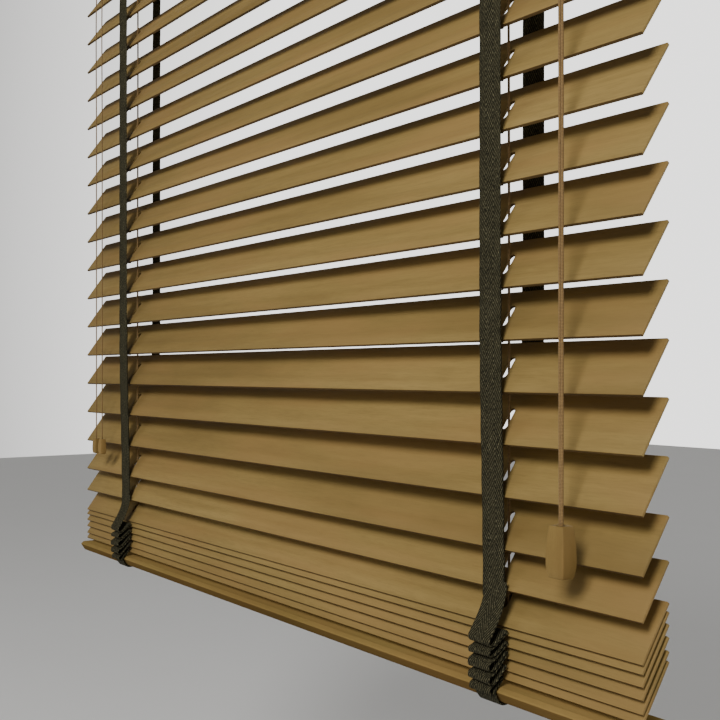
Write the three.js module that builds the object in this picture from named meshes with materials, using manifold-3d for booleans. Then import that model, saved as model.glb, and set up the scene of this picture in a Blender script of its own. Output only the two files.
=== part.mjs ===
// Wooden venetian blind, partly raised, slats tilted with the room-side edge down.
// Millimetres. X runs along the slats, -Y is the room side, +Z is up.
// The origin is the middle of the plane that the brackets are screwed to, so everything hangs below z = 0.
import * as THREE from "three";
import { mergeVertices } from "three/addons/utils/BufferGeometryUtils.js";
import Module from "manifold-3d";

const wasm = await Module();
wasm.setup();

// ---------------------------------------------------------------- driving dimensions
const slatLength = 1026;
const slatWidth = 50;
const slatThickness = 2.7;
const tilt = THREE.MathUtils.degToRad(54); // slat angle from horizontal, room-side edge down
const pitch = 42.3; // from one hanging slat to the next
const hangingSlats = 17;
const firstSlatZ = -84; // centre line of the top slat
const stackGaps = [32.2, 29.6, 6.7, 8.9, 9.2, 10, 7.4]; // the lower slats, gathered as the blind is raised

const tapeX = 366; // middle of each ladder tape, from the middle of the blind
const tapeWidth = 25;
const tapeThickness = 0.8;
const frontStandOff = 6.7; // from a slat's edge out to its tape
const backStandOff = 13.8;
const slotLength = 20; // rout slot for the lift cord, across the slat
const slotWidth = 6;

const railHalfDepth = 28.5; // head rail
const railTop = -1.5;
const railBottom = -51;
const railWall = 1.2;
const railHalfLength = slatLength / 2 - 0.5;
const bracketGrip = 17.5; // how far each bracket reaches along the head rail

const shaftZ = -26.5;
const shaftRadius = 3.2;
const armRadius = slatWidth / 2; // the drum's pins move as the slats' edges do
const drumHalfWidth = 10;

const tilterX = -425; // worm and pulley that turn the shaft
const pulleyRadius = 10.5;
const pulleyY = -21.4;
const wormZ = -13.2;

const lockX = 456.5; // cord lock, above the lift cords' tassel
const pullCordX = [455, 458];
const hangY = -36; // lift cords hang this far out
const tiltCordY = -32;

const bottomRailTop = -889.5;
const bottomRailHeight = 13;

const liftTasselTop = -749.5;
const liftTasselHeight = 38.5;
const tiltTasselTop = -731.5;
const tiltTasselHeight = 21;

// ---------------------------------------------------------------- materials
const wood = { color: 0x92794b, roughness: 0.45 };
const darkWood = { color: 0x8a7344, roughness: 0.45 };
const steel = { color: 0xb9b2a0, roughness: 0.4, metalness: 0.8 };
const zinc = { color: 0x9a9a98, roughness: 0.35, metalness: 0.9 };
const plastic = { color: 0xb29a6a, roughness: 0.5 };
const tape = { color: 0x2e2d22, roughness: 0.9 };
const cordFibre = { color: 0x8a6a36, roughness: 0.8 };

// ---------------------------------------------------------------- solids
function toSolid(geometry) {
  const plain = geometry.index ? geometry.toNonIndexed() : geometry.clone();
  plain.deleteAttribute("normal");
  plain.deleteAttribute("uv");
  const merged = mergeVertices(plain, 1e-4);
  return new wasm.Manifold(
    new wasm.Mesh({
      numProp: 3,
      vertProperties: merged.attributes.position.array,
      triVerts: new Uint32Array(merged.index.array),
    }),
  );
}

function toGeometry(solid) {
  const mesh = solid.getMesh();
  const geometry = new THREE.BufferGeometry();
  geometry.setAttribute("position", new THREE.BufferAttribute(mesh.vertProperties, 3));
  geometry.setIndex(new THREE.BufferAttribute(mesh.triVerts, 1));
  return geometry;
}

const joined = (first, ...rest) =>
  toGeometry(rest.reduce((sum, g) => sum.add(toSolid(g)), toSolid(first)));

const cut = (body, ...tools) =>
  toGeometry(tools.reduce((left, g) => left.subtract(toSolid(g)), toSolid(body)));

// Box between two corners.
function box(x0, x1, y0, y1, z0, z1) {
  const geometry = new THREE.BoxGeometry(x1 - x0, y1 - y0, z1 - z0);
  return geometry.translate((x0 + x1) / 2, (y0 + y1) / 2, (z0 + z1) / 2);
}

// Solid of the outline [[y, z], ...] between two planes across X.
function prismX(outline, x0, x1) {
  const shape = new THREE.Shape(outline.map(([y, z]) => new THREE.Vector2(y, z)));
  const geometry = new THREE.ExtrudeGeometry(shape, { depth: x1 - x0, bevelEnabled: false });
  const turn = new THREE.Matrix4().makeBasis(
    new THREE.Vector3(0, 1, 0),
    new THREE.Vector3(0, 0, 1),
    new THREE.Vector3(1, 0, 0),
  );
  return geometry.applyMatrix4(turn).translate(x0, 0, 0);
}

// Round bar or cone along X, Y or Z, from a to b on that axis.
function bar(axis, radius, a, b, at, sides = 20, radiusEnd = radius) {
  const geometry = new THREE.CylinderGeometry(radiusEnd, radius, b - a, sides);
  geometry.translate(0, (a + b) / 2, 0);
  if (axis === "x") geometry.rotateZ(-Math.PI / 2);
  if (axis === "z") geometry.rotateX(Math.PI / 2);
  return geometry.translate(...at);
}

// Cord of the given radius along a smooth line through the points, with three sections from each to the next.
function cord(points, radius) {
  const path = new THREE.CatmullRomCurve3(
    points.map((p) => new THREE.Vector3(...p)),
    false,
    "centripetal",
  );
  path.getUtoTmapping = (u) => u; // sections follow the points, close where the points are
  const steps = 3 * (points.length - 1);
  const round = new THREE.Shape();
  const sides = 6;
  for (let i = 0; i < sides; i++) {
    const a = (2 * Math.PI * i) / sides;
    if (i === 0) round.moveTo(radius * Math.cos(a), radius * Math.sin(a));
    else round.lineTo(radius * Math.cos(a), radius * Math.sin(a));
  }
  return new THREE.ExtrudeGeometry(round, { extrudePath: path, steps, bevelEnabled: false });
}

// Thin strip of tape whose middle line is [[y, z], ...], as an outline for prismX.
function stripOutline(line, thickness) {
  const left = [];
  const right = [];
  line.forEach(([y, z], i) => {
    const [py, pz] = line[Math.max(i - 1, 0)];
    const [ny, nz] = line[Math.min(i + 1, line.length - 1)];
    const length = Math.hypot(ny - py, nz - pz);
    const offY = ((nz - pz) / length) * (thickness / 2);
    const offZ = (-(ny - py) / length) * (thickness / 2);
    left.push([y + offY, z + offZ]);
    right.push([y - offY, z - offZ]);
  });
  return [...left, ...right.reverse()];
}

const blind = new THREE.Group();
const materials = { wood, darkWood, steel, zinc, plastic, tape, cordFibre };

function add(name, look, geometry, group = blind) {
  const mesh = new THREE.Mesh(geometry, new THREE.MeshStandardMaterial(materials[look]));
  mesh.geometry.computeVertexNormals();
  mesh.name = name;
  group.add(mesh);
  return mesh;
}

// ---------------------------------------------------------------- slats
const slatZ = Array.from({ length: hangingSlats }, (_, i) => firstSlatZ - pitch * i);
for (const gap of stackGaps) {
  slatZ.push(slatZ[slatZ.length - 1] - gap);
}

// A thin board with eased edges and two rounded slots across it, one under each ladder tape.
function slatGeometry() {
  const w = slatWidth / 2;
  const t = slatThickness / 2;
  const ease = 0.8;
  const section = [
    [-w + ease, -t],
    [w - ease, -t],
    [w, -t + ease],
    [w, t - ease],
    [w - ease, t],
    [-w + ease, t],
    [-w, t - ease],
    [-w, -t + ease],
  ];
  const board = prismX(section, -slatLength / 2, slatLength / 2);
  const r = slotWidth / 2;
  const half = slotLength / 2 - r;
  const slots = [-tapeX, tapeX].map((x) => {
    const slot = new THREE.Shape();
    slot.absarc(0, half, r, 0, Math.PI);
    slot.absarc(0, -half, r, Math.PI, 2 * Math.PI);
    const geometry = new THREE.ExtrudeGeometry(slot, { depth: 10, bevelEnabled: false, curveSegments: 4 });
    return geometry.translate(x, 0, -5);
  });
  return cut(board, ...slots);
}

slatZ.forEach((z, i) => {
  const slat = add(`slat_${String(i + 1).padStart(2, "0")}`, "wood", slatGeometry());
  slat.rotation.x = tilt;
  slat.position.z = z;
});

// A slat's edge on the room side (-1) or the window side (+1), at rest.
const edgeY = (side) => side * armRadius * Math.cos(tilt);
const edgeZ = (z, side) => z + side * armRadius * Math.sin(tilt);
const tapeY = (side) => edgeY(side) + (side < 0 ? -frontStandOff : backStandOff);

// ---------------------------------------------------------------- head rail
// Rolled steel channel, open at the top, with slots in its floor for tapes and cords.
const tapeSlots = [-tapeX, tapeX].flatMap((x) => [
  box(x - 15, x + 15, -26.3, -7.5, railBottom - 5, railBottom + 5),
  box(x - 15, x + 15, 7.5, 26.3, railBottom - 5, railBottom + 5),
  bar("z", 4, railBottom - 5, railBottom + 5, [x, 0, 0], 12),
]);
const channel = prismX(
  [
    [-railHalfDepth, railTop],
    [-railHalfDepth, railBottom],
    [railHalfDepth, railBottom],
    [railHalfDepth, railTop],
    [railHalfDepth - 4, railTop],
    [railHalfDepth - 4, railTop - railWall],
    [railHalfDepth - railWall, railTop - railWall],
    [railHalfDepth - railWall, railBottom + railWall],
    [-railHalfDepth + railWall, railBottom + railWall],
    [-railHalfDepth + railWall, railTop - railWall],
    [-railHalfDepth + 4, railTop - railWall],
    [-railHalfDepth + 4, railTop],
  ],
  -railHalfLength,
  railHalfLength,
);
add(
  "headrail",
  "steel",
  cut(
    channel,
    ...tapeSlots,
    box(tilterX - 14, tilterX + 14, -26.3, -18, railBottom - 5, railBottom + 5),
    box(lockX - 12, lockX + 12, -26.3, -16, railBottom - 5, railBottom + 5),
  ),
);

// Box bracket round each end of the head rail, with a door that slides down off its front.
for (const [name, s] of [["left", -1], ["right", 1]]) {
  const across = (a, b) => [Math.min(s * a, s * b), Math.max(s * a, s * b)];
  const inner = railHalfLength - bracketGrip;
  const outer = railHalfLength + 2.3;
  const [x0, x1] = across(inner, outer);
  const [e0, e1] = across(outer - 1.6, outer);
  const hole = (y) => bar("z", 2.4, -5, 5, [s * (inner + 9), y, 0], 12);
  const bracket = joined(
    box(x0, x1, -28.5, 30.3, railTop + 0.3, 0),
    box(x0, x1, 28.8, 30.3, -52.8, 0),
    box(x0, x1, -28.5, 30.3, -52.8, railBottom - 0.3),
    box(e0, e1, -28.5, 30.3, -52.8, 0),
  );
  add(`bracket_${name}`, "zinc", cut(bracket, hole(-14), hole(14)));

  const [t0, t1] = across(inner + 6, inner + 13);
  add(
    `bracket_door_${name}`,
    "zinc",
    joined(box(x0, x1, -30.2, -29, -52.8, -0.5), box(t0, t1, -31.4, -30, -48, -44)),
  );
}

// Moulded valance board in front of the head rail, with a short return round each end.
const valanceHalf = railHalfLength + 5.5;
const valanceSection = [
  [-33, -3],
  [-33, -62],
  [-35, -64],
  [-40, -64],
  [-43, -60],
  [-43, -56],
  [-41.5, -52],
  [-41.5, -17],
  [-43, -12],
  [-43, -7],
  [-40, -3],
];
add(
  "valance",
  "darkWood",
  joined(
    prismX(valanceSection, -valanceHalf, valanceHalf),
    box(-valanceHalf, -valanceHalf + 2.7, -34, -2, -62, -3),
    box(valanceHalf - 2.7, valanceHalf, -34, -2, -62, -3),
  ),
);

// ---------------------------------------------------------------- tilt mechanism
const bearingX = tapeX + 23.5;
add("tilt_shaft", "zinc", bar("x", shaftRadius, tilterX - 16.5, bearingX + 7, [0, 0, shaftZ], 6));

// Hub with two arms; a pin at each arm's end carries a tape. The pins lie on the slats' angle.
function drumGeometry() {
  const h = drumHalfWidth;
  const parts = [
    bar("x", 7, -h, h, [0, 0, 0], 20),
    box(-h, h, -20, 20, -1.2, 1.2),
  ];
  for (const side of [-1, 1]) {
    const [y0, y1] = side < 0 ? [-20, -16] : [16, 20];
    const [p0, p1] = side < 0 ? [-26, -16] : [16, 26];
    parts.push(box(-14, 14, y0, y1 - 1, -1.2, 1.2));
    for (const ear of [-1, 1]) {
      const [x0, x1] = ear < 0 ? [-14, -12] : [12, 14];
      parts.push(box(x0, x1, p0, p1, -1.2, 1.2));
    }
    parts.push(bar("x", 1, -13, 13, [0, side * armRadius, 0], 12));
  }
  return cut(joined(...parts), bar("x", shaftRadius + 0.4, -20, 20, [0, 0, 0], 6));
}
for (const [name, x] of [["left", -tapeX], ["right", tapeX]]) {
  const drum = add(`ladder_drum_${name}`, "plastic", drumGeometry());
  drum.rotation.x = tilt;
  drum.position.set(x, 0, shaftZ);
}

// Bearing that holds the shaft's free end.
add(
  "shaft_bearing",
  "plastic",
  cut(
    joined(
      box(bearingX - 2.5, bearingX + 2.5, -9, 9, -49.5, -18),
      box(bearingX - 7.5, bearingX + 7.5, -14, 14, -49.5, -47.5),
    ),
    bar("x", shaftRadius + 0.4, bearingX - 10, bearingX + 10, [0, 0, shaftZ], 20),
    bar("x", 6.5, bearingX - 10, bearingX + 10, [0, 0, -46], 16),
  ),
);

// Tilter: an open box with the gear on the shaft and the worm across above it.
const boxX = [tilterX - 17, tilterX + 17];
add(
  "tilter_housing",
  "plastic",
  cut(
    box(boxX[0], boxX[1], -17, 14, -49.5, -4),
    box(boxX[0] + 2.4, boxX[1] - 2.4, -15, 12, -47, 0),
    bar("x", shaftRadius + 0.6, boxX[0] - 5, boxX[1] + 5, [0, 0, shaftZ], 20),
    bar("y", 3.4, -20, 20, [tilterX, 0, wormZ], 20),
  ),
);

function gearGeometry() {
  const teeth = 16;
  const shape = new THREE.Shape();
  for (let i = 0; i < teeth; i++) {
    const a = (2 * Math.PI * i) / teeth;
    const step = (2 * Math.PI) / teeth;
    const corners = [
      [7.2, 0],
      [8.6, 0.15],
      [8.6, 0.4],
      [7.2, 0.55],
    ];
    corners.forEach(([r, k], j) => {
      const y = r * Math.cos(a + k * step);
      const z = r * Math.sin(a + k * step);
      if (i === 0 && j === 0) shape.moveTo(y, z);
      else shape.lineTo(y, z);
    });
  }
  const outline = shape.getPoints().map((p) => [p.x, p.y]);
  return cut(prismX(outline, -4, 4), bar("x", shaftRadius + 0.4, -10, 10, [0, 0, 0], 6));
}
add("tilter_gear", "plastic", gearGeometry()).position.set(tilterX, 0, shaftZ);

// Worm, its journals and the cord pulley, turned as one piece about Y.
const wormProfile = [
  [0, -24.2],
  [pulleyRadius + 0.9, -24.2],
  [pulleyRadius + 0.9, -23.3],
  [pulleyRadius - 1.6, -22.1],
  [pulleyRadius - 1.6, -20.7],
  [pulleyRadius + 0.9, -19.5],
  [pulleyRadius + 0.9, -18.5],
  [3, -18.5],
  [3, -14],
];
for (let i = 0; i < 5; i++) {
  const y = -10 + 4 * i;
  wormProfile.push([3, y], [4.3, y + 0.8], [4.3, y + 1.6], [3, y + 2.4]);
}
wormProfile.push([3, 15], [0, 15]);
add(
  "tilter_worm",
  "plastic",
  new THREE.LatheGeometry(wormProfile.map(([r, y]) => new THREE.Vector2(r, y)), 16),
).position.set(tilterX, 0, wormZ);

// ---------------------------------------------------------------- cord lock
const lockPlates = [lockX - 19, lockX + 17];
add(
  "cord_lock_body",
  "zinc",
  cut(
    joined(
      box(lockPlates[0], lockPlates[1] + 2, -12, 24, -49.5, -47.7),
      box(lockPlates[0], lockPlates[0] + 2, -22, 24, -49.5, -8),
      box(lockPlates[1], lockPlates[1] + 2, -22, 24, -49.5, -8),
      bar("x", 2.5, lockPlates[0] + 1, lockPlates[1] + 1, [0, -13, -20], 16),
    ),
    box(lockPlates[0] - 1, lockPlates[0] + 3, -7, 7, -44, -14),
    bar("x", 1.9, lockPlates[0] - 1, lockPlates[1] + 3, [0, -3, -40], 16),
  ),
);
add(
  "cord_lock_pawl",
  "zinc",
  joined(
    bar("x", 1.5, lockPlates[0] - 0.5, lockPlates[1] + 2.5, [0, -3, -40], 12),
    prismX(
      [
        [-1, -43],
        [-1, -37],
        [-13, -31],
        [-18.4, -31],
        [-18.4, -34],
      ],
      lockPlates[0] + 3,
      lockPlates[1] - 1,
    ),
  ),
);

// ---------------------------------------------------------------- ladder tapes
// Eye round the drum's pin, a neck down through the floor slot, then the tape itself, standing off the slats.
function tapeGeometry(x, side, bottom) {
  const pinY = edgeY(side);
  const pinZ = edgeZ(shaftZ, side);
  const jogZ = edgeZ(firstSlatZ, side) + 10;
  const neck = 11;
  const t = tapeThickness / 2;
  const eye = cut(
    bar("x", 2.3, x - neck, x + neck, [0, pinY, pinZ], 14),
    bar("x", 1.4, x - neck - 1, x + neck + 1, [0, pinY, pinZ], 14),
  );
  const strap = prismX(
    stripOutline(
      [
        [pinY, pinZ - 1.8],
        [pinY, jogZ + 4],
        [tapeY(side), jogZ - 3],
        [tapeY(side), jogZ - 6],
      ],
      tapeThickness,
    ),
    x - neck,
    x + neck,
  );
  const wide = box(x - tapeWidth / 2, x + tapeWidth / 2, tapeY(side) - t, tapeY(side) + t, bottom, jogZ - 4);
  return joined(eye, strap, wide);
}

const lastHanging = slatZ[hangingSlats - 1];
const lowest = slatZ[slatZ.length - 1];
const frontEdge = (k) => edgeZ(slatZ[hangingSlats + k], -1);
add("tape_front_left", "tape", tapeGeometry(-tapeX, -1, edgeZ(lastHanging, -1) - 2));
add("tape_front_right", "tape", tapeGeometry(tapeX, -1, frontEdge(2) + 6));
add("tape_back_left", "tape", tapeGeometry(-tapeX, 1, edgeZ(lowest, 1) + 1));
add("tape_back_right", "tape", tapeGeometry(tapeX, 1, edgeZ(lowest, 1) + 1));

// Slack tape above each lower slat: bowed where the slats still hang, folded where they are stacked.
const foldDepth = 12;
function foldLine(top, bottom, depth) {
  const y = tapeY(-1);
  const h = top - bottom;
  if (h > 20) {
    return [
      [y, top],
      [y - depth / 2, top - h * 0.3],
      [y - depth / 2, top - h * 0.7],
      [y, bottom],
    ];
  }
  const nose = Math.min(h / 2 - 0.7, 2.4);
  return [
    [y, top],
    [y - depth + nose, top],
    [y - depth, top - nose],
    [y - depth, bottom + nose],
    [y - depth + nose, bottom],
    [y, bottom],
  ];
}
const foldBounds = stackGaps.map((gap, k) => {
  const bottom = frontEdge(k) + (gap > 20 ? 0 : 0.6);
  const top = frontEdge(k) + gap - (k === 0 ? 2.6 : 0.8);
  return [top, bottom];
});
foldBounds.forEach(([top, bottom], k) => {
  const depth = stackGaps[k] > 20 ? 7 : foldDepth;
  const line = foldLine(top - tapeThickness / 2, bottom + tapeThickness / 2, depth);
  const strip = prismX(stripOutline(line, tapeThickness), -tapeX - tapeWidth / 2, -tapeX + tapeWidth / 2);
  add(`tape_fold_left_${k + 1}`, "tape", strip);
});

// The right tape's folds, gathered into one bunch.
const bunchLine = [];
foldBounds.slice(2).forEach(([top, bottom]) => {
  const y = tapeY(-1);
  const tip = y - foldDepth;
  bunchLine.push([y, top - 0.4], [tip, top - 1.4], [tip, bottom + 1.4], [y, bottom + 0.4]);
});
add(
  "tape_folds_right",
  "tape",
  prismX(stripOutline(bunchLine, tapeThickness), tapeX - tapeWidth / 2, tapeX + tapeWidth / 2),
);

// ---------------------------------------------------------------- bottom rail
const railLow = bottomRailTop - bottomRailHeight;
const railSection = [
  [-21, bottomRailTop],
  [-25, bottomRailTop - 3],
  [-24.6, bottomRailTop - 4.4],
  [-19.5, railLow + 0.8],
  [-18, railLow],
  [18, railLow],
  [19.5, railLow + 0.8],
  [24.6, bottomRailTop - 4.4],
  [25, bottomRailTop - 3],
  [21, bottomRailTop],
];
const railHoles = [-tapeX, tapeX].flatMap((x) => [
  bar("z", 2.5, railLow - 5, bottomRailTop + 5, [x, 0, 0], 12),
  bar("z", 7, railLow - 5, railLow + 4, [x, 0, 0], 20),
]);
add("bottom_rail", "wood", cut(prismX(railSection, -slatLength / 2, slatLength / 2), ...railHoles));
for (const [name, x] of [["left", -tapeX], ["right", tapeX]]) {
  add(
    `rail_plug_${name}`,
    "plastic",
    joined(
      bar("z", 6.6, railLow - 0.6, railLow + 3.6, [x, 0, 0], 20),
      bar("z", 8.6, railLow - 1.2, railLow - 0.3, [x, 0, 0], 20),
    ),
  );
}

// ---------------------------------------------------------------- cords
const liftCordRadius = 0.8;
const tiltCordRadius = 0.8;

// From the bottom rail up through the slats, along the head rail, over the lock's bar, down to the tassel.
function liftCord(x, laneY, pullX) {
  const before = lockPlates[0] - 22;
  return cord(
    [
      [x, 0, railLow + 4.4],
      [x, 0, -500],
      [x, 0, -60],
      [x + 0.5, laneY * 0.3, -49.5],
      [x + 4, laneY, -45.8],
      [x + 14, laneY, -45.2],
      [(x + before) / 2, laneY, -45.2],
      [before - 14, laneY, -45.2],
      [before, laneY, -45.2],
      [before + 16, laneY, -36],
      [lockPlates[0] + 2, laneY * 0.6, -24],
      [pullX - 3, -7, -16.6],
      [pullX, -13, -15.4],
      [pullX, -18, -18.4],
      [pullX, -20.3, -26],
      [pullX, -21.5, -40],
      [pullX, -23.5, -50],
      [pullX, -29.5, -64],
      [pullX, -34.5, -80],
      [pullX, hangY, -110],
      [pullX, hangY, -450],
      [lockX + (pullX - lockX) * 0.9, hangY, -650],
      [lockX + (pullX - lockX) * 0.75, hangY, liftTasselTop + 4],
      [lockX + (pullX - lockX) * 0.75, hangY, liftTasselTop - 24],
    ],
    liftCordRadius,
  );
}
add("lift_cord_left", "cordFibre", liftCord(-tapeX, -2.6, pullCordX[0]));
add("lift_cord_right", "cordFibre", liftCord(tapeX, 2.6, pullCordX[1]));

// One cord over the tilter's pulley, with a tassel on each end.
const tiltSide = (s) => [
  [tilterX + s * pulleyRadius, tiltCordY, tiltTasselTop - 12],
  [tilterX + s * pulleyRadius, tiltCordY, -450],
  [tilterX + s * pulleyRadius, tiltCordY, -110],
  [tilterX + s * pulleyRadius, tiltCordY + 2, -78],
  [tilterX + s * pulleyRadius, pulleyY - 2.5, -54],
  [tilterX + s * pulleyRadius, pulleyY, -38],
  [tilterX + s * pulleyRadius, pulleyY, -22],
];
const overPulley = Array.from({ length: 9 }, (_, i) => {
  const a = Math.PI - (Math.PI * i) / 8;
  return [tilterX + pulleyRadius * Math.cos(a), pulleyY, wormZ + pulleyRadius * Math.sin(a)];
});
add(
  "tilt_cord",
  "cordFibre",
  cord([...tiltSide(-1), ...overPulley, ...tiltSide(1).reverse()], tiltCordRadius),
);

// ---------------------------------------------------------------- tassels
// Four-sided barrel with a small flat at each corner and a bore for the cord.
function tasselGeometry(height, widthX, widthY, bore) {
  const rings = [
    [0, 0.52],
    [-0.06, 0.62],
    [-0.3, 0.86],
    [-0.55, 1],
    [-0.8, 0.93],
    [-0.96, 0.76],
    [-1, 0.66],
  ];
  const corner = 0.14;
  const around = [
    [1, -1 + 2 * corner],
    [1, 1 - 2 * corner],
    [1 - 2 * corner, 1],
    [-1 + 2 * corner, 1],
    [-1, 1 - 2 * corner],
    [-1, -1 + 2 * corner],
    [-1 + 2 * corner, -1],
    [1 - 2 * corner, -1],
  ];
  const n = around.length;
  const points = rings.flatMap(([down, size]) =>
    around.map(([x, y]) => [(x * size * widthX) / 2, (y * size * widthY) / 2, down * height]),
  );
  const top = points.push([0, 0, 0]) - 1;
  const bottom = points.push([0, 0, -height]) - 1;
  const faces = [];
  for (let i = 0; i < n; i++) {
    const j = (i + 1) % n;
    faces.push(top, i, j);
    faces.push(bottom, (rings.length - 1) * n + j, (rings.length - 1) * n + i);
    for (let r = 0; r < rings.length - 1; r++) {
      const a = r * n + i;
      const b = r * n + j;
      faces.push(a, a + n, b, b, a + n, b + n);
    }
  }
  const body = new THREE.BufferGeometry();
  body.setAttribute("position", new THREE.Float32BufferAttribute(points.flat(), 3));
  body.setIndex(faces);
  return cut(body, bar("z", bore, -height - 5, 5, [0, 0, 0], 14));
}
add("lift_tassel", "darkWood", tasselGeometry(liftTasselHeight, 17.8, 15, 3)).position.set(
  lockX,
  hangY,
  liftTasselTop,
);
for (const [name, s] of [["left", -1], ["right", 1]]) {
  add(`tilt_tassel_${name}`, "darkWood", tasselGeometry(tiltTasselHeight, 11, 8.2, 1.3)).position.set(
    tilterX + s * pulleyRadius,
    tiltCordY,
    tiltTasselTop,
  );
}

export default blind;
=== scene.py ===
import bpy
import bmesh
import math
from mathutils import Matrix, Vector


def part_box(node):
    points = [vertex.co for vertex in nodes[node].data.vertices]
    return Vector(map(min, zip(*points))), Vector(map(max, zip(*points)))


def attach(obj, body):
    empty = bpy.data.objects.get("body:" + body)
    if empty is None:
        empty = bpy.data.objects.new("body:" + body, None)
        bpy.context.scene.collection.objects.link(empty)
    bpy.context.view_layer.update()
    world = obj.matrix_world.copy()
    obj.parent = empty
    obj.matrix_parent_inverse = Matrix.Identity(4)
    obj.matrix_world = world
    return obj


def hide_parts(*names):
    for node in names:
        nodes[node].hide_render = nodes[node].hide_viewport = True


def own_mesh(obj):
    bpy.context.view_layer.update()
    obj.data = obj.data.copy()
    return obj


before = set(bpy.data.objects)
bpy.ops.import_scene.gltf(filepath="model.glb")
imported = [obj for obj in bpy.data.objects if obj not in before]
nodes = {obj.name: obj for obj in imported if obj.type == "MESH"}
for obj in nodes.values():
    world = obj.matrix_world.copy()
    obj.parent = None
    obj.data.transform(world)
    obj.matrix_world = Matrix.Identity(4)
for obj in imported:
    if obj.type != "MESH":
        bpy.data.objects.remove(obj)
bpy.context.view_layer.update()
scene = bpy.context.scene

# Sizes in metres. Places come from the CAD boxes where a node has them.
TILT = math.radians(54)
PITCH = 0.0423
SLATS = [n for n in sorted(nodes) if n.startswith("slat_")]
TAPE_X = 0.366
SLAT_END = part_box("slat_01")[1].x
TAPE_W = 0.025
CENTRE_Z = {n: (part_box(n)[0].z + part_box(n)[1].z) / 2 for n in SLATS}
RAIL_LOW, RAIL_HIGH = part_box("bottom_rail")
EYE_Z = -0.638  # the camera's height
EDGE_Z = 0.025 * math.sin(TILT)  # a slat's edge above or below its middle
LIFT_DROP = 0.208  # from the height at rest to fully lowered
CORD_D = 0.0022
TILT_CORD_D = 0.0016
LOCK_X = 456.5  # the cord lock's middle, in millimetres as the cord's route is
HALF_WIDTH, HALF_THICKNESS = 0.025, 0.00135  # of a slat


# ---------------------------------------------------------------- camera
camera_data = bpy.data.cameras.new("camera")
camera_data.sensor_width = 36
camera_data.lens = 51.6
camera_data.shift_y = 0.018
camera_data.clip_end = 50
camera = bpy.data.objects.new("camera", camera_data)
scene.collection.objects.link(camera)
forward = Vector((-0.807, 0.591, 0)).normalized()
camera.location = (0.978, -0.600, EYE_Z)
camera.rotation_euler = forward.to_track_quat("-Z", "Y").to_euler()
scene.camera = camera


# ---------------------------------------------------------------- node helpers
class Graph:
    """A material's node tree, with short calls for what is used here."""

    def __init__(self, name):
        self.material = bpy.data.materials.new(name)
        self.material.use_nodes = True
        self.tree = self.material.node_tree
        self.shader = self.tree.nodes["Principled BSDF"]

    def put(self, kind, inputs=(), **settings):
        node = self.tree.nodes.new(kind)
        for key, value in settings.items():
            setattr(node, key, value)
        for key, value in dict(inputs).items():
            if isinstance(value, bpy.types.NodeSocket):
                self.tree.links.new(value, node.inputs[key])
            else:
                node.inputs[key].default_value = value
        return node

    def math(self, operation, a, b=0.0, c=0.0):
        return self.put("ShaderNodeMath", {0: a, 1: b, 2: c}, operation=operation).outputs[0]

    def noise(self, vector, scale, detail=4.0, rough=0.55):
        inputs = {"Vector": vector, "Scale": scale, "Detail": detail, "Roughness": rough}
        return self.put("ShaderNodeTexNoise", inputs).outputs[0]

    def stretched(self, x, y, z):
        where = self.put("ShaderNodeTexCoord").outputs["Object"]
        return self.put("ShaderNodeMapping", {"Vector": where, "Scale": (x, y, z)}).outputs[0]

    def ramp(self, factor, *stops):
        node = self.put("ShaderNodeValToRGB", {0: factor})
        for _ in range(len(stops) - 2):
            node.color_ramp.elements.new(0.5)
        for element, (place, colour) in zip(node.color_ramp.elements, stops):
            element.position = place
            element.color = (*colour, 1) if len(colour) == 3 else colour
        return node.outputs[0]

    def mix(self, factor, a, b, mode="MIX"):
        node = self.put("ShaderNodeMix", {0: factor}, data_type="RGBA", blend_type=mode)
        for key, value in ((6, a), (7, b)):
            if isinstance(value, bpy.types.NodeSocket):
                self.tree.links.new(value, node.inputs[key])
            else:
                node.inputs[key].default_value = (*value, 1)
        return node.outputs[2]

    def range(self, value, low, high, to_low=0.0, to_high=1.0):
        inputs = {0: value, 1: low, 2: high, 3: to_low, 4: to_high}
        return self.put("ShaderNodeMapRange", inputs).outputs[0]

    def bump(self, height, distance, strength=1.0):
        inputs = {"Height": height, "Distance": distance, "Strength": strength}
        return self.put("ShaderNodeBump", inputs).outputs[0]

    def finish(self, colour, roughness, normal=None, **plain):
        for key, value in (("Base Color", colour), ("Roughness", roughness), ("Normal", normal)):
            if isinstance(value, bpy.types.NodeSocket):
                self.tree.links.new(value, self.shader.inputs[key])
            elif value is not None:
                self.shader.inputs[key].default_value = value
        for key, value in plain.items():
            self.shader.inputs[key.replace("_", " ")].default_value = value
        return self.material


def srgb(r, g, b):
    def linear(c):
        c /= 255
        return c / 12.92 if c <= 0.04045 else ((c + 0.055) / 1.055) ** 2.4

    return (linear(r), linear(g), linear(b))


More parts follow.
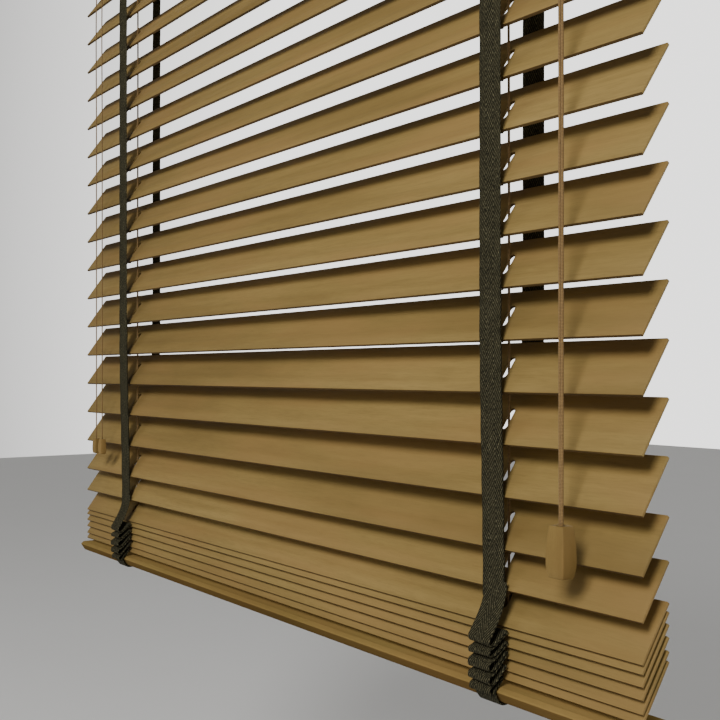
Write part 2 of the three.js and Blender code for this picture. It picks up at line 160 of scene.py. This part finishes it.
# ---------------------------------------------------------------- materials
def wood(name, light, mid, dark, along=(1.0, 16.0, 16.0), shine=0.14):
    """Stained hardwood under satin lacquer, its grain along the axis with the smallest stretch."""
    g = Graph(name)
    tone = g.noise(g.stretched(*(s * 0.35 + 0.6 for s in along)), 1.7, 3.0)
    streaks = g.noise(g.stretched(*(s * 2.4 for s in along)), 3.2, 6.0, 0.62)
    fibres = g.noise(g.stretched(*(s * 14.0 for s in along)), 4.0, 3.0, 0.7)
    hue = g.noise(g.stretched(*(s * 0.5 + 1.5 for s in along)), 2.3, 2.0)
    base = g.ramp(tone, (0.3, dark), (0.5, mid), (0.72, light))
    lined = g.mix(g.range(streaks, 0.42, 0.72, 0.0, 0.5), base, dark)
    fine = g.mix(g.range(fibres, 0.45, 0.75, 0.0, 0.34), lined, tuple(0.72 * c for c in dark))
    warm = (mid[0] * 1.05, mid[1] * 0.93, mid[2] * 0.98)
    colour = g.mix(g.range(hue, 0.45, 0.65, 0.0, 0.5), fine, warm)
    rough = g.range(streaks, 0.3, 0.8, 0.56, 0.68)
    height = g.math("ADD", g.math("MULTIPLY", fibres, 0.6), g.math("MULTIPLY", streaks, 0.4))
    return g.finish(colour, rough, g.bump(height, 0.00012, 0.5), Specular_IOR_Level=shine)


OAK = wood("oak_slats", srgb(143, 121, 72), srgb(132, 111, 64), srgb(112, 92, 51))
# Darker colours for the slats' long edges: painted shade, for the dark line along each edge.
SHADED_EDGE_OAK = wood("oak_slat_edges_painted_shade", srgb(96, 76, 42), srgb(84, 65, 35), srgb(68, 52, 28))
RAIL_OAK = wood("oak_rail", srgb(143, 121, 72), srgb(132, 111, 64), srgb(112, 92, 51), shine=0.0)
# A darker copy of the rail's wood for its downward faces: painted shade.
RAIL_SHADED_UNDERSIDE = wood("oak_rail_underside_painted_shade", srgb(106, 86, 49), srgb(96, 77, 43), srgb(80, 63, 34), shine=0.0)
TASSEL_OAK = wood(
    "oak_tassel", srgb(142, 119, 69), srgb(131, 109, 61), srgb(112, 90, 49), (30.0, 30.0, 4.0)
)


def tape_cloth(name, dark, thread, pale):
    """Herringbone webbing: three columns of steep diagonals. UV map in metres, u across and v along."""
    g = Graph(name)
    uv = g.put("ShaderNodeSeparateXYZ", {0: g.put("ShaderNodeUVMap", uv_map="metres").outputs[0]})
    u = g.math("MULTIPLY", uv.outputs[0], 1000.0)
    v = g.math("MULTIPLY", uv.outputs[1], 1000.0)
    column = g.math("PINGPONG", u, 8.33)
    diagonal = g.math("ADD", v, g.math("MULTIPLY", column, 2.0))
    wander = g.noise(g.stretched(1.0, 1.0, 1.0), 160.0, 2.0)
    steady = g.math("MULTIPLY", diagonal, 2 * math.pi / 4.2)
    turned = g.math("ADD", steady, g.math("MULTIPLY", wander, 1.6))
    rows = g.math("SINE", turned)
    spot = g.noise(g.stretched(1.0, 1.0, 1.0), 620.0, 2.0, 0.7)
    row = g.range(rows, -0.1, 0.7)
    shown = g.math("MULTIPLY", row, g.range(spot, 0.3, 0.52))
    drift = g.noise(g.stretched(1.0, 1.0, 1.0), 60.0, 2.0)
    base = g.mix(g.range(drift, 0.35, 0.7), dark, tuple(1.5 * c for c in dark))
    colour = g.mix(shown, base, thread)
    colour = g.mix(g.math("MULTIPLY", shown, g.range(spot, 0.6, 0.72)), colour, pale)
    picks = g.math("SINE", g.math("MULTIPLY", v, 2 * math.pi / 0.9))
    relief = g.math("ADD", row, g.math("MULTIPLY", picks, 0.15))
    return g.finish(colour, 0.95, g.bump(relief, 0.0004, 0.9), Specular_IOR_Level=0.08)


TAPE = tape_cloth("ladder_tape", srgb(26, 25, 17), srgb(78, 74, 54), srgb(124, 118, 90))


def braid(name, dark, light):
    """Braided cord: two sets of strands crossing. UV map: turns round the cord and metres along it."""
    g = Graph(name)
    uv = g.put("ShaderNodeSeparateXYZ", {0: g.put("ShaderNodeUVMap", uv_map="metres").outputs[0]})
    turn = g.math("MULTIPLY", uv.outputs[0], 2 * math.pi * 4)
    along = g.math("MULTIPLY", uv.outputs[1], 2 * math.pi / 0.0021)
    one = g.math("SINE", g.math("ADD", turn, along))
    other = g.math("SINE", g.math("SUBTRACT", turn, along))
    strands = g.range(g.math("MULTIPLY", one, other), -0.6, 0.8)
    fuzz = g.noise(g.stretched(1.0, 1.0, 1.0), 700.0, 2.0)
    # The dark colour fills the troughs between strands: painted shade in the crevices.
    colour = g.mix(g.math("MULTIPLY", strands, g.range(fuzz, 0.3, 0.7, 0.5, 1.0)), dark, light)
    return g.finish(colour, 0.8, g.bump(strands, 0.0002, 0.7), Sheen_Weight=0.1, Specular_IOR_Level=0.25)


# For both cords, the dark colour is painted shade between the strands.
CORD = braid("braided_cord", srgb(84, 62, 32), srgb(158, 128, 80))
RUNG = braid("ladder_rung", srgb(40, 38, 29), srgb(78, 74, 56))


def painted(name, colour, roughness, metallic=0.0, grain=260.0, depth=0.00003):
    """Enamelled, plated or moulded surface with fine orange peel, slight dirt and uneven gloss."""
    g = Graph(name)
    peel = g.noise(g.stretched(1.0, 1.0, 1.0), grain, 3.0)
    wear = g.noise(g.stretched(1.0, 2.5, 2.5), 9.0, 5.0)
    tint = g.mix(g.range(wear, 0.45, 0.75, 0.0, 0.35), colour, tuple(0.72 * c for c in colour))
    rough = g.range(wear, 0.3, 0.75, roughness - 0.06, roughness + 0.1)
    return g.finish(tint, rough, g.bump(peel, depth, 0.5), Metallic=metallic)


ENAMEL = painted("enamelled_steel", srgb(196, 178, 140), 0.38)
ZINC = painted("zinc_plate", srgb(176, 176, 172), 0.34, 0.85, 90.0)
PLASTIC = painted("moulded_plastic", srgb(178, 148, 98), 0.46)


def coat(obj, material):
    obj.data.materials.clear()
    obj.data.materials.append(material)
    return obj


def paint_shade_by_normal(obj, second, chosen):
    """Gives a second material, a painted shade, to the faces whose normals are chosen."""
    obj.data.materials.append(second)
    for face in obj.data.polygons:
        face.material_index = 1 if chosen(face.normal) else 0


# ---------------------------------------------------------------- mesh helpers
def piece(name, mesh, material, body, replaces=(), smooth=True):
    obj = bpy.data.objects.new(name, mesh)
    scene.collection.objects.link(obj)
    coat(obj, material)
    if smooth:
        mesh.shade_smooth()
    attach(obj, body)
    if replaces:
        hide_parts(*replaces)
    return obj


def spline(points, per=6):
    """Points on a centripetal Catmull-Rom curve through the given ones, per of them in each span."""
    pts = [Vector(p) for p in points]
    pts = [pts[0] * 2 - pts[1], *pts, pts[-1] * 2 - pts[-2]]
    out = []
    for a, b, c, d in zip(pts, pts[1:], pts[2:], pts[3:]):
        ta = max((b - a).length, 1e-6) ** 0.5
        tb = max((c - b).length, 1e-6) ** 0.5
        tc = max((d - c).length, 1e-6) ** 0.5
        m1 = (b - a) / ta - (c - a) / (ta + tb) + (c - b) / tb
        m2 = (c - b) / tb - (d - b) / (tb + tc) + (d - c) / tc
        m1, m2 = m1 * tb, m2 * tb
        for i in range(per):
            t = i / per
            h1 = 2 * t**3 - 3 * t**2 + 1
            h2 = t**3 - 2 * t**2 + t
            h3 = -2 * t**3 + 3 * t**2
            h4 = t**3 - t**2
            out.append(h1 * b + h2 * m1 + h3 * c + h4 * m2)
    out.append(pts[-2])
    return out


def mesh_of(name, verts, faces, uvs=None):
    """A mesh from points and faces; uvs is one (u, v) for each corner of each face."""
    mesh = bpy.data.meshes.new(name)
    mesh.from_pydata(verts, [], faces)
    if uvs:
        layer = mesh.uv_layers.new(name="metres")
        flat = [pair for face in uvs for pair in face]
        for loop, pair in zip(layer.data, flat):
            loop.uv = pair
    mesh.update()
    return mesh


def tube(name, path, radius, sides=12):
    """A closed tube along the points, with turns and metres as its UV map."""
    verts, faces, uvs = [], [], []
    side = Vector((1, 0, 0))
    rings, along = [], 0.0
    for i, p in enumerate(path):
        ahead = path[min(i + 1, len(path) - 1)] - path[max(i - 1, 0)]
        ahead.normalize()
        side = side - ahead * side.dot(ahead)
        if side.length < 1e-4:
            side = ahead.orthogonal()
        side.normalize()
        other = ahead.cross(side)
        if i:
            along += (p - path[i - 1]).length
        rings.append(along)
        for k in range(sides):
            a = 2 * math.pi * k / sides
            verts.append(p + radius * (math.cos(a) * side + math.sin(a) * other))
    for i in range(len(path) - 1):
        for k in range(sides):
            j = (k + 1) % sides
            faces.append((i * sides + k, i * sides + j, (i + 1) * sides + j, (i + 1) * sides + k))
            u0, u1 = k / sides, (k + 1) / sides
            uvs.append(((u0, rings[i]), (u1, rings[i]), (u1, rings[i + 1]), (u0, rings[i + 1])))
    first, last = tuple(range(sides))[::-1], tuple(range(len(verts) - sides, len(verts)))
    for cap in (first, last):
        faces.append(cap)
        uvs.append(tuple((0.0, 0.0) for _ in cap))
    return mesh_of(name, verts, faces, uvs)


def webbing(name, line, x, width, thickness=0.0009, skew=None, sway=0.0):
    """A woven strap whose middle line is [(y, z), ...], with rounded edges and metres as its UV map.

    skew(metres along) gives its sideways slope, and sway is how far it is shifted near the slats.
    """
    count = len(line)
    section = [(-0.5, 0.0), (-0.47, 0.5), (-0.2, 0.5), (0.2, 0.5), (0.47, 0.5),
               (0.5, 0.0), (0.47, -0.5), (0.2, -0.5), (-0.2, -0.5), (-0.47, -0.5)]
    n = len(section)
    verts, lengths, along = [], [], 0.0
    for i, (y, z) in enumerate(line):
        py, pz = line[max(i - 1, 0)]
        ny, nz = line[min(i + 1, count - 1)]
        size = math.hypot(ny - py, nz - pz)
        out = Vector((0, (nz - pz) / size, -(ny - py) / size))
        if i:
            along += math.hypot(y - line[i - 1][0], z - line[i - 1][1])
        lengths.append(along)
        turn = skew(along) if skew else 0.0
        aside = x + sway * min(max((0.033 - abs(y)) / 0.016, 0.0), 1.0)
        for u, t in section:
            shift = Vector((0, 0, u * turn))
            verts.append(Vector((aside + u * width, y, z)) + out * t * thickness + shift)
    faces, uvs = [], []
    for i in range(count - 1):
        for k in range(n):
            j = (k + 1) % n
            faces.append((i * n + k, (i + 1) * n + k, (i + 1) * n + j, i * n + j))
            u0, u1 = (section[k][0] + 0.5) * width, (section[j][0] + 0.5) * width
            v0, v1 = lengths[i], lengths[i + 1]
            uvs.append(((u0, v0), (u0, v1), (u1, v1), (u1, v0)))
    for cap in (tuple(range(n)), tuple(range(len(verts) - n, len(verts)))[::-1]):
        faces.append(cap)
        uvs.append(tuple((0.0, 0.0) for _ in cap))
    return mesh_of(name, verts, faces, uvs)


def applied(obj):
    """The object's mesh with its modifiers applied; the object goes."""
    bpy.context.view_layer.update()
    evaluated = obj.evaluated_get(bpy.context.evaluated_depsgraph_get())
    mesh = bpy.data.meshes.new_from_object(evaluated)
    bpy.data.objects.remove(obj)
    return mesh


def scratch(name, mesh):
    obj = bpy.data.objects.new(name, mesh)
    scene.collection.objects.link(obj)
    return obj


def prism(name, outline, x0, x1):
    """Solid of the outline [(y, z), ...] between two planes across X."""
    n = len(outline)
    verts = [(x, y, z) for x in (x0, x1) for y, z in outline]
    faces = [tuple(range(n))[::-1], tuple(range(n, 2 * n))]
    faces += [(i, (i + 1) % n, n + (i + 1) % n, n + i) for i in range(n)]
    mesh = mesh_of(name, verts, faces)
    fixed = bmesh.new()
    fixed.from_mesh(mesh)
    bmesh.ops.recalc_face_normals(fixed, faces=fixed.faces)
    fixed.to_mesh(mesh)
    fixed.free()
    return mesh


def bevelled(mesh, width, segments=3, cutters=(), angle=35):
    """The mesh less its cutters, with every sharp edge rounded."""
    body = scratch("body", mesh)
    tools = [scratch(f"tool_{i}", m) for i, m in enumerate(cutters)]
    for tool in tools:
        cut = body.modifiers.new("cut", "BOOLEAN")
        cut.operation, cut.solver, cut.object = "DIFFERENCE", "EXACT", tool
    ease = body.modifiers.new("ease", "BEVEL")
    ease.width, ease.segments = width, segments
    ease.limit_method, ease.angle_limit = "ANGLE", math.radians(angle)
    ease.harden_normals = False
    made = applied(body)
    for tool in tools:
        bpy.data.objects.remove(tool)
    return made


# ---------------------------------------------------------------- tassels
def tassel(name, node, height, wide_x, wide_y):
    """Four-sided barrel with eased corners and a dimple where the cord goes in."""
    low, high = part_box(node)
    cx, cy = (low.x + high.x) / 2, (low.y + high.y) / 2
    profile = [(0, 0.78), (-0.1, 0.84), (-0.25, 0.91), (-0.45, 0.975), (-0.6, 1.0), (-0.75, 0.985),
               (-0.88, 0.92), (-0.96, 0.84), (-1.0, 0.76)]
    verts = []
    for down, size in profile:
        for sx, sy in ((1, -1), (1, 1), (-1, 1), (-1, -1)):
            verts.append((cx + sx * size * wide_x / 2, cy + sy * size * wide_y / 2, high.z + down * height))
    faces = [(0, 1, 2, 3)]
    for r in range(len(profile) - 1):
        ring, below = 4 * r, 4 * r + 4
        faces += [(ring + i, below + i, below + (i + 1) % 4, ring + (i + 1) % 4) for i in range(4)]
    last = 4 * (len(profile) - 1)
    faces.append((last + 3, last + 2, last + 1, last))
    mesh = mesh_of(name, verts, faces)
    bore_line = [Vector((cx, cy, high.z + 0.005)), Vector((cx, cy, high.z - height * 0.35))]
    bore = tube("bore", bore_line, 0.003 if wide_x > 0.015 else 0.0013, 24)
    mesh = bevelled(mesh, wide_x * 0.045, 3, [bore], 50)
    return piece(name, mesh, TASSEL_OAK, node, (node,))


lift_tassel = tassel("lift_tassel_wood", "lift_tassel", 0.0385, 0.0178, 0.015)
tilt_tassels = {
    side: tassel(f"tilt_tassel_wood_{side}", f"tilt_tassel_{side}", 0.021, 0.011, 0.0082)
    for side in ("left", "right")
}


# ---------------------------------------------------------------- cords
def lift_route(x, lane, pull_x):
    """The lift cord's points from the bottom rail to its tassel, as in the CAD, in millimetres."""
    before = LOCK_X - 41
    low_x = LOCK_X + (pull_x - LOCK_X) * 0.75
    return [
        (x, 0, -895.6), (x, 0, -500), (x, 0, -60), (x + 0.5, lane * 0.3, -49.5),
        (x + 4, lane, -45.8), (x + 14, lane, -45.2), ((x + before) / 2, lane, -45.2),
        (before - 14, lane, -45.2), (before, lane, -45.2), (before + 16, lane, -36),
        (LOCK_X - 17, lane * 0.6, -24), (pull_x - 3, -7, -16.6), (pull_x, -13, -15.4),
        (pull_x, -18, -18.4), (pull_x, -20.3, -26), (pull_x, -21.5, -40), (pull_x, -23.5, -50),
        (pull_x, -29.5, -64), (pull_x, -34.5, -80), (pull_x, -36, -110), (pull_x, -36, -450),
        (LOCK_X + (pull_x - LOCK_X) * 0.9, -36, -650), (low_x, -36, -745.5), (low_x, -36, -773.5),
    ]


def metres(points):
    return [Vector(p) / 1000 for p in points]


EXIT = 16  # which of the route's points is just below the head rail's floor
for name, x, lane, pull_x in (("left", -366, -2.6, 455.2), ("right", 366, 2.6, 457.8)):
    route = lift_route(x, lane, pull_x)
    inside = spline(metres(route[: EXIT + 1]), 5)
    piece(f"lift_cord_inside_{name}", tube("cord", inside, CORD_D / 2), CORD, "headrail",
          (f"lift_cord_{name}",))
    # The cord's lower end is drawn out of the upper part as the rail drops.
    drawn = [Vector((x / 1000, 0, z / 1000)) for z in (-897, -880, -800, -700, -640)]
    drawn_mesh = tube("cord", drawn, CORD_D / 2 * 0.94)
    piece(f"lift_cord_drawn_{name}", drawn_mesh, CORD, "bottom_rail")
    free = spline(metres(route[EXIT:]), 6)
    pull = piece(f"pull_cord_{name}", tube("cord", free, CORD_D / 2), CORD, "headrail",
                 (f"lift_cord_{name}",))
    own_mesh(pull)


TILTER_X, PULLEY_R, PULLEY_Y, PULLEY_Z = -0.425, 0.0105, -0.0214, -0.0132
TILT_EXIT_Y, TILT_EXIT_Z = PULLEY_Y - 0.0006, -0.046  # where the tilt cord leaves the tilter
TILT_HANG_Y = -0.032
over = [Vector((TILTER_X - PULLEY_R, TILT_EXIT_Y, TILT_EXIT_Z))]
over.append(Vector((TILTER_X - PULLEY_R, PULLEY_Y, -0.03)))
for i in range(13):
    a = math.pi - math.pi * i / 12
    over.append(Vector((TILTER_X + PULLEY_R * math.cos(a), PULLEY_Y, PULLEY_Z + PULLEY_R * math.sin(a))))
over.append(Vector((TILTER_X + PULLEY_R, PULLEY_Y, -0.03)))
over.append(Vector((TILTER_X + PULLEY_R, TILT_EXIT_Y, TILT_EXIT_Z)))
over_mesh = tube("cord", spline(over, 3), TILT_CORD_D / 2)
piece("tilt_cord_over_pulley", over_mesh, CORD, "headrail", ("tilt_cord",))
for name, s in (("left", -1), ("right", 1)):
    x = TILTER_X + s * PULLEY_R
    end = -0.7345 if name == "right" else -0.7435
    free = spline([Vector((x, y, z)) for y, z in (
        (TILT_EXIT_Y, TILT_EXIT_Z), (PULLEY_Y - 0.0025, -0.054), (-0.030, -0.078), (TILT_HANG_Y, -0.110),
        (TILT_HANG_Y, -0.300), (TILT_HANG_Y, -0.500), (TILT_HANG_Y, -0.650), (TILT_HANG_Y, end))], 8)
    tail = piece(f"tilt_pull_{name}", tube("cord", free, TILT_CORD_D / 2), CORD, "headrail",
                 ("tilt_cord",))
    reach = -0.700 if name == "left" else -0.520
    spare = [Vector((x, TILT_HANG_Y, z)) for z in (-0.750, -0.735, -0.72, reach)]
    spare_mesh = tube("cord", spare, TILT_CORD_D / 2 - 0.00006)
    piece(f"tilt_cord_drawn_{name}", spare_mesh, CORD, f"tilt_tassel_{name}")
    if name == "left":
        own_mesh(tail)


# ---------------------------------------------------------------- slats
def slot_cutter(x):
    """A slot's round-ended shape, to cut through a slat lying flat."""
    r, half = 0.003, 0.007
    ring = []
    for start, middle in ((0.0, half), (math.pi, -half)):
        for i in range(9):
            a = start + math.pi * i / 8
            ring.append((x + r * math.cos(a), middle + r * math.sin(a)))
    n = len(ring)
    verts = [(px, py, z) for z in (-0.01, 0.01) for px, py in ring]
    faces = [tuple(range(n))[::-1], tuple(range(n, 2 * n))]
    faces += [(i, (i + 1) % n, n + (i + 1) % n, n + i) for i in range(n)]
    return mesh_of("slot", verts, faces)


section = [(-HALF_WIDTH, -HALF_THICKNESS), (HALF_WIDTH, -HALF_THICKNESS),
           (HALF_WIDTH, HALF_THICKNESS), (-HALF_WIDTH, HALF_THICKNESS)]
board = prism("board", section, -SLAT_END, SLAT_END)
slat_mesh = bevelled(board, 0.0007, 3, [slot_cutter(-TAPE_X), slot_cutter(TAPE_X)])
for name in SLATS:
    mesh = slat_mesh.copy()
    mesh.transform(Matrix.Translation((0, 0, CENTRE_Z[name])) @ Matrix.Rotation(TILT, 4, "X"))
    made = piece(f"{name}_board", mesh, OAK, name, (name,))
    # The long edges get the darker wood, as painted shade.
    paint_shade_by_normal(made, SHADED_EDGE_OAK, lambda n: abs(n.y * math.cos(TILT) + n.z * math.sin(TILT)) > 0.5)
bpy.data.meshes.remove(slat_mesh)


# ---------------------------------------------------------------- bottom rail, plugs
rail_top, rail_low = RAIL_HIGH.z, RAIL_LOW.z
rail_outline = [
    (-0.021, rail_top), (-0.0248, rail_top - 0.0028), (-0.0248, rail_top - 0.0040),
    (-0.0195, rail_low + 0.0010), (-0.0180, rail_low), (0.0180, rail_low), (0.0195, rail_low + 0.0010),
    (0.0248, rail_top - 0.0040), (0.0248, rail_top - 0.0028), (0.021, rail_top),
]
rail_mesh = bevelled(prism("rail", rail_outline, -SLAT_END, SLAT_END), 0.0006, 3, angle=12)
rail = piece("bottom_rail_moulding", rail_mesh, RAIL_OAK, "bottom_rail", ("bottom_rail",))
# The faces that point down get the darker wood, as painted shade.
paint_shade_by_normal(rail, RAIL_SHADED_UNDERSIDE, lambda n: n.z < -0.2)


# ---------------------------------------------------------------- tapes
def smooth_line(points, per=8):
    """[(y, z), ...] in metres through the given points in millimetres."""
    return [(p.y, p.z) for p in spline([Vector((0, y / 1000, z / 1000)) for y, z in points], per)]


def tape_plane(z, side):
    """How far out a tape hangs at a height: it draws in towards the gathered slats."""
    level = -0.588 if side < 0 else -0.548
    t = min(max((level - z) / 0.230, 0.0), 1.0)
    ease = t * t * (3 - 2 * t)
    return -0.0214 + 0.0038 * ease if side < 0 else 0.0285 - 0.0030 * ease


def hanging(side, top, low, off=0.0):
    """A hanging tape's middle line, off by a little towards the slats, with the faint bow between rungs."""
    step = 0.006
    count = int((top - low) / step)
    line = []
    for i in range(count + 1):
        z = top - (top - low) * i / count
        y = tape_plane(z, side) - side * off
        line.append((y + 0.00025 * math.sin(2 * math.pi * z / PITCH), z))
    return line


# The slack front tape as (y, z) in millimetres. It is drawn in at each gathered slat's edge, and between
# two edges it droops out in a lobe. The last lobe and the end that goes under the rail are the tail.
LOBES = [
    (-17.9, -806), (-18.4, -814), (-20.8, -824), (-25.2, -835), (-30.6, -845.5), (-33.4, -851.2),
    (-32.2, -854.6), (-28.2, -854.0), (-22.5, -849.0), (-17.4, -844.6), (-17.2, -846.0),
    (-22.6, -851.6), (-28.8, -857.0), (-33.0, -859.8), (-33.0, -863.2), (-28.8, -863.2),
    (-22.8, -857.8), (-17.4, -852.6), (-17.2, -854.0), (-22.6, -860.2), (-28.6, -866.2),
    (-33.4, -869.8), (-33.6, -874.2), (-29.4, -875.2), (-23.0, -868.2), (-17.4, -861.4),
    (-17.2, -863.0), (-22.8, -870.6), (-28.8, -877.2), (-33.4, -880.4), (-33.4, -884.4),
    (-29.4, -885.2), (-23.0, -878.6), (-17.6, -871.8),
]
TAIL = [
    (-17.2, -872.4), (-22.8, -880.8), (-28.4, -886.8), (-32.2, -889.4), (-32.2, -893.2), (-29.0, -893.6),
    (-24.4, -888.0), (-18.4, -881.6), (-18.4, -883.4), (-22.0, -887.4), (-25.6, -890.2), (-26.6, -893.2),
    (-25.4, -897.0), (-22.6, -901.2), (-19.4, -904.0), (-8.0, -904.2),
]
BACK_TAIL = [
    (25.2, -833.0), (26.0, -850), (26.8, -872), (27.0, -888), (26.6, -893.2), (25.4, -897.0),
    (22.6, -901.2), (19.4, -904.0), (8.0, -904.2),
]
BACK_RISE = 40.4  # the back edges of the tilted slats stand higher than the front ones


def back_lobe(y, z):
    return (25.0 + (-y - 17.2) * 0.75, z + BACK_RISE)


def tape_pieces(name, x, where, side):
    """One tape: the strap on its drum, the layer drawn out below it, its slack, and its lower end."""
    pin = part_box(f"tape_{where}_{name}")[1].z * 1000
    jog = (CENTRE_Z["slat_01"] + side * EDGE_Z) * 1000 + 10
    neck, plane = side * 14.7, tape_plane(0, side) * 1000
    cut_off = -0.820 if side < 0 else -0.780
    line = smooth_line([(neck, pin - 2), (neck, pin - 14), (neck, jog + 5), (neck + side * 1.6, jog),
                        (plane - side * 1.0, jog - 5), (plane, jog - 12)])
    line += hanging(side, (jog - 14) / 1000, cut_off)
    strap = piece(f"ladder_tape_{where}_{name}", webbing("tape", line, x, TAPE_W), TAPE, f"{where}_tapes",
                  [f"tape_{where}_{name}"])
    # A second layer behind it rides with the rail and is drawn out below it as the rail drops. It is longer
    # than the drop, because the tape rises when the slats tilt the other way.
    spare = 0.050 if side < 0 else 0.012
    inner = hanging(side, cut_off + LIFT_DROP + spare, cut_off + 0.004, 0.0011)
    piece(f"ladder_tape_{where}_{name}_lower", webbing("tape", inner, x, TAPE_W - 0.0006, 0.0007), TAPE,
          "bottom_rail")
    folds = smooth_line(LOBES if side < 0 else [back_lobe(y, z) for y, z in LOBES], 7)
    replaced = []
    if side < 0:
        replaced = [f"tape_fold_left_{k}" for k in range(1, 8)] if name == "left" else ["tape_folds_right"]
    turn, phase = (95, 0.0) if name == "left" else (80, 1.0)
    slope = lambda s: 0.0011 * math.sin(s * turn + phase)
    folded = webbing("folds", folds, x, TAPE_W + 0.0006, 0.001, slope, 0.0035)
    bunch = piece(f"tape_folds_{where}_{name}", folded, TAPE, "bottom_rail", replaced)
    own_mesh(bunch)
    tail = smooth_line(TAIL if side < 0 else BACK_TAIL, 6)
    tail_mesh = webbing("tail", tail, x, TAPE_W)
    piece(f"tape_tail_{where}_{name}", tail_mesh, TAPE, "bottom_rail")


for name, x in (("left", -TAPE_X), ("right", TAPE_X)):
    tape_pieces(name, x, "front", -1)
    tape_pieces(name, x, "back", 1)


def merged(name, parts):
    """One mesh from several."""
    whole = bmesh.new()
    for part in parts:
        whole.from_mesh(part)
        bpy.data.meshes.remove(part)
    mesh = bpy.data.meshes.new(name)
    whole.to_mesh(mesh)
    whole.free()
    return mesh


# Two rungs at each tape: under each slat on the slat, and from the slat's edges to the tapes on the tapes.
RUNG_R = 0.0005
RUNG_X = [x + s * 0.006 for x in (-TAPE_X, TAPE_X) for s in (-1, 1)]
for name in SLATS:
    z = -HALF_THICKNESS - 0.0006
    lines = [[Vector((x, y, z)) for y in (-0.0251, -0.008, 0.008, 0.0251)] for x in RUNG_X]
    under = [tube("rung", line, RUNG_R, 6) for line in lines]
    mesh = merged("rungs", under)
    mesh.transform(Matrix.Translation((0, 0, CENTRE_Z[name])) @ Matrix.Rotation(TILT, 4, "X"))
    piece(f"{name}_rungs", mesh, RUNG, name)
for where, side in (("front", -1), ("back", 1)):
    links = []
    for name in SLATS[:17]:
        z = CENTRE_Z[name] + side * EDGE_Z - 0.0012
        y0, y1 = side * 0.0136, tape_plane(z, side)
        for x in RUNG_X:
            path = [Vector((x, y0, z)), Vector((x, (y0 + y1) / 2, z - 0.0004)), Vector((x, y1, z))]
            links.append(tube("link", path, RUNG_R, 6))
    piece(f"rung_ends_{where}", merged("links", links), RUNG, f"{where}_tapes")


# ---------------------------------------------------------------- carried-over CAD nodes
for node, obj in nodes.items():
    if node == "headrail":
        coat(obj, ENAMEL)
    elif node == "valance":
        coat(obj, RAIL_OAK)
    elif node.startswith(("bracket", "cord_lock", "tilt_shaft")):
        coat(obj, ZINC)
    elif node.startswith(("ladder_drum", "shaft_bearing", "tilter", "rail_plug")):
        coat(obj, PLASTIC)


# ---------------------------------------------------------------- stage
def stage_material(name, colour):
    g = Graph(name)
    mottle = g.noise(g.stretched(1.0, 1.0, 1.0), 3.0, 3.0)
    return g.finish(g.mix(mottle, colour, tuple(0.97 * c for c in colour)), 0.9)


floor_z = -1.45
corners = [(-9, -9, floor_z), (9, -9, floor_z), (9, 9, floor_z), (-9, 9, floor_z)]
floor = scratch("floor", mesh_of("floor", corners, [(0, 1, 2, 3)]))
coat(floor, stage_material("pale_floor", (0.78, 0.78, 0.77)))


def studio_world(dim, bright):
    """Pale surroundings, brighter behind the blind than in front of it."""
    world = bpy.data.worlds.new("studio")
    world.use_nodes = True
    tree = world.node_tree
    where = tree.nodes.new("ShaderNodeTexCoord")
    split = tree.nodes.new("ShaderNodeSeparateXYZ")
    tree.links.new(where.outputs["Generated"], split.inputs[0])
    overhead = tree.nodes.new("ShaderNodeMapRange")
    tree.links.new(split.outputs[2], overhead.inputs[0])
    for socket, value in ((1, 0.38), (2, 0.62), (3, bright), (4, dim)):
        overhead.inputs[socket].default_value = value
    swing = tree.nodes.new("ShaderNodeMapRange")
    tree.links.new(split.outputs[1], swing.inputs[0])
    for socket, value in ((1, 0.15), (2, 0.5), (3, dim)):
        swing.inputs[socket].default_value = value
    tree.links.new(overhead.outputs[0], swing.inputs[4])
    background = tree.nodes["Background"]
    background.inputs[0].default_value = (1.0, 0.99, 0.97, 1)
    tree.links.new(swing.outputs[0], background.inputs[1])
    return world


scene.world = studio_world(0.17, 2.1)


def area_light(name, place, target, size, power, colour=(1, 1, 1)):
    data = bpy.data.lights.new(name, "AREA")
    data.shape, data.size, data.energy, data.color = "DISK", size, power, colour
    light = bpy.data.objects.new(name, data)
    scene.collection.objects.link(light)
    light.location = place
    light.rotation_euler = (Vector(target) - Vector(place)).to_track_quat("-Z", "Y").to_euler()


area_light("key", (1.5, -2.5, 1.05), (0.0, 0, -0.55), 1.2, 116, (1.0, 0.985, 0.97))
area_light("fill", (-1.6, -2.2, 0.3), (-0.1, 0, -0.6), 1.6, 10)
